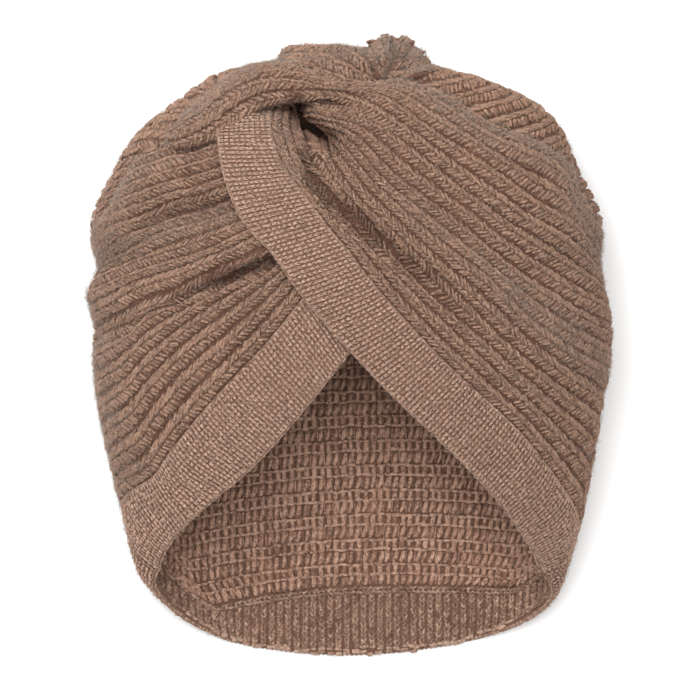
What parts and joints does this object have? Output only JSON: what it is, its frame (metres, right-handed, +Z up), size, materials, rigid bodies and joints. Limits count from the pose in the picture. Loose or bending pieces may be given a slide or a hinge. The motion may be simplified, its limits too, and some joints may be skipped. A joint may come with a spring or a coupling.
{
  "type": "knitted turban bonnet",
  "caption": "Ribbed wool baby bonnet with a twisted wrap over the forehead, a smooth knitted edge band and a gathered crown, lying on its back.",
  "frame": {"origin": "under the middle of the outline, on the plane the back of the bonnet lies on", "axes": "+X to the right seen from above, +Y from the nape to the crown, +Z up through the face opening"},
  "size_m": [0.1828, 0.2184, 0.0959],
  "materials": {
    "ribbed_wool": "matte ribbed wool knit",
    "band_wool": "matte fine plain wool knit"
  },
  "bodies": {
    "root": {"back_crown": "ribbed_wool", "nape_band": "band_wool", "left_wrap": "ribbed_wool", "left_band": "band_wool", "twist_fold": "ribbed_wool", "right_wrap": "ribbed_wool", "right_band": "band_wool"}
  },
  "joints": []
}
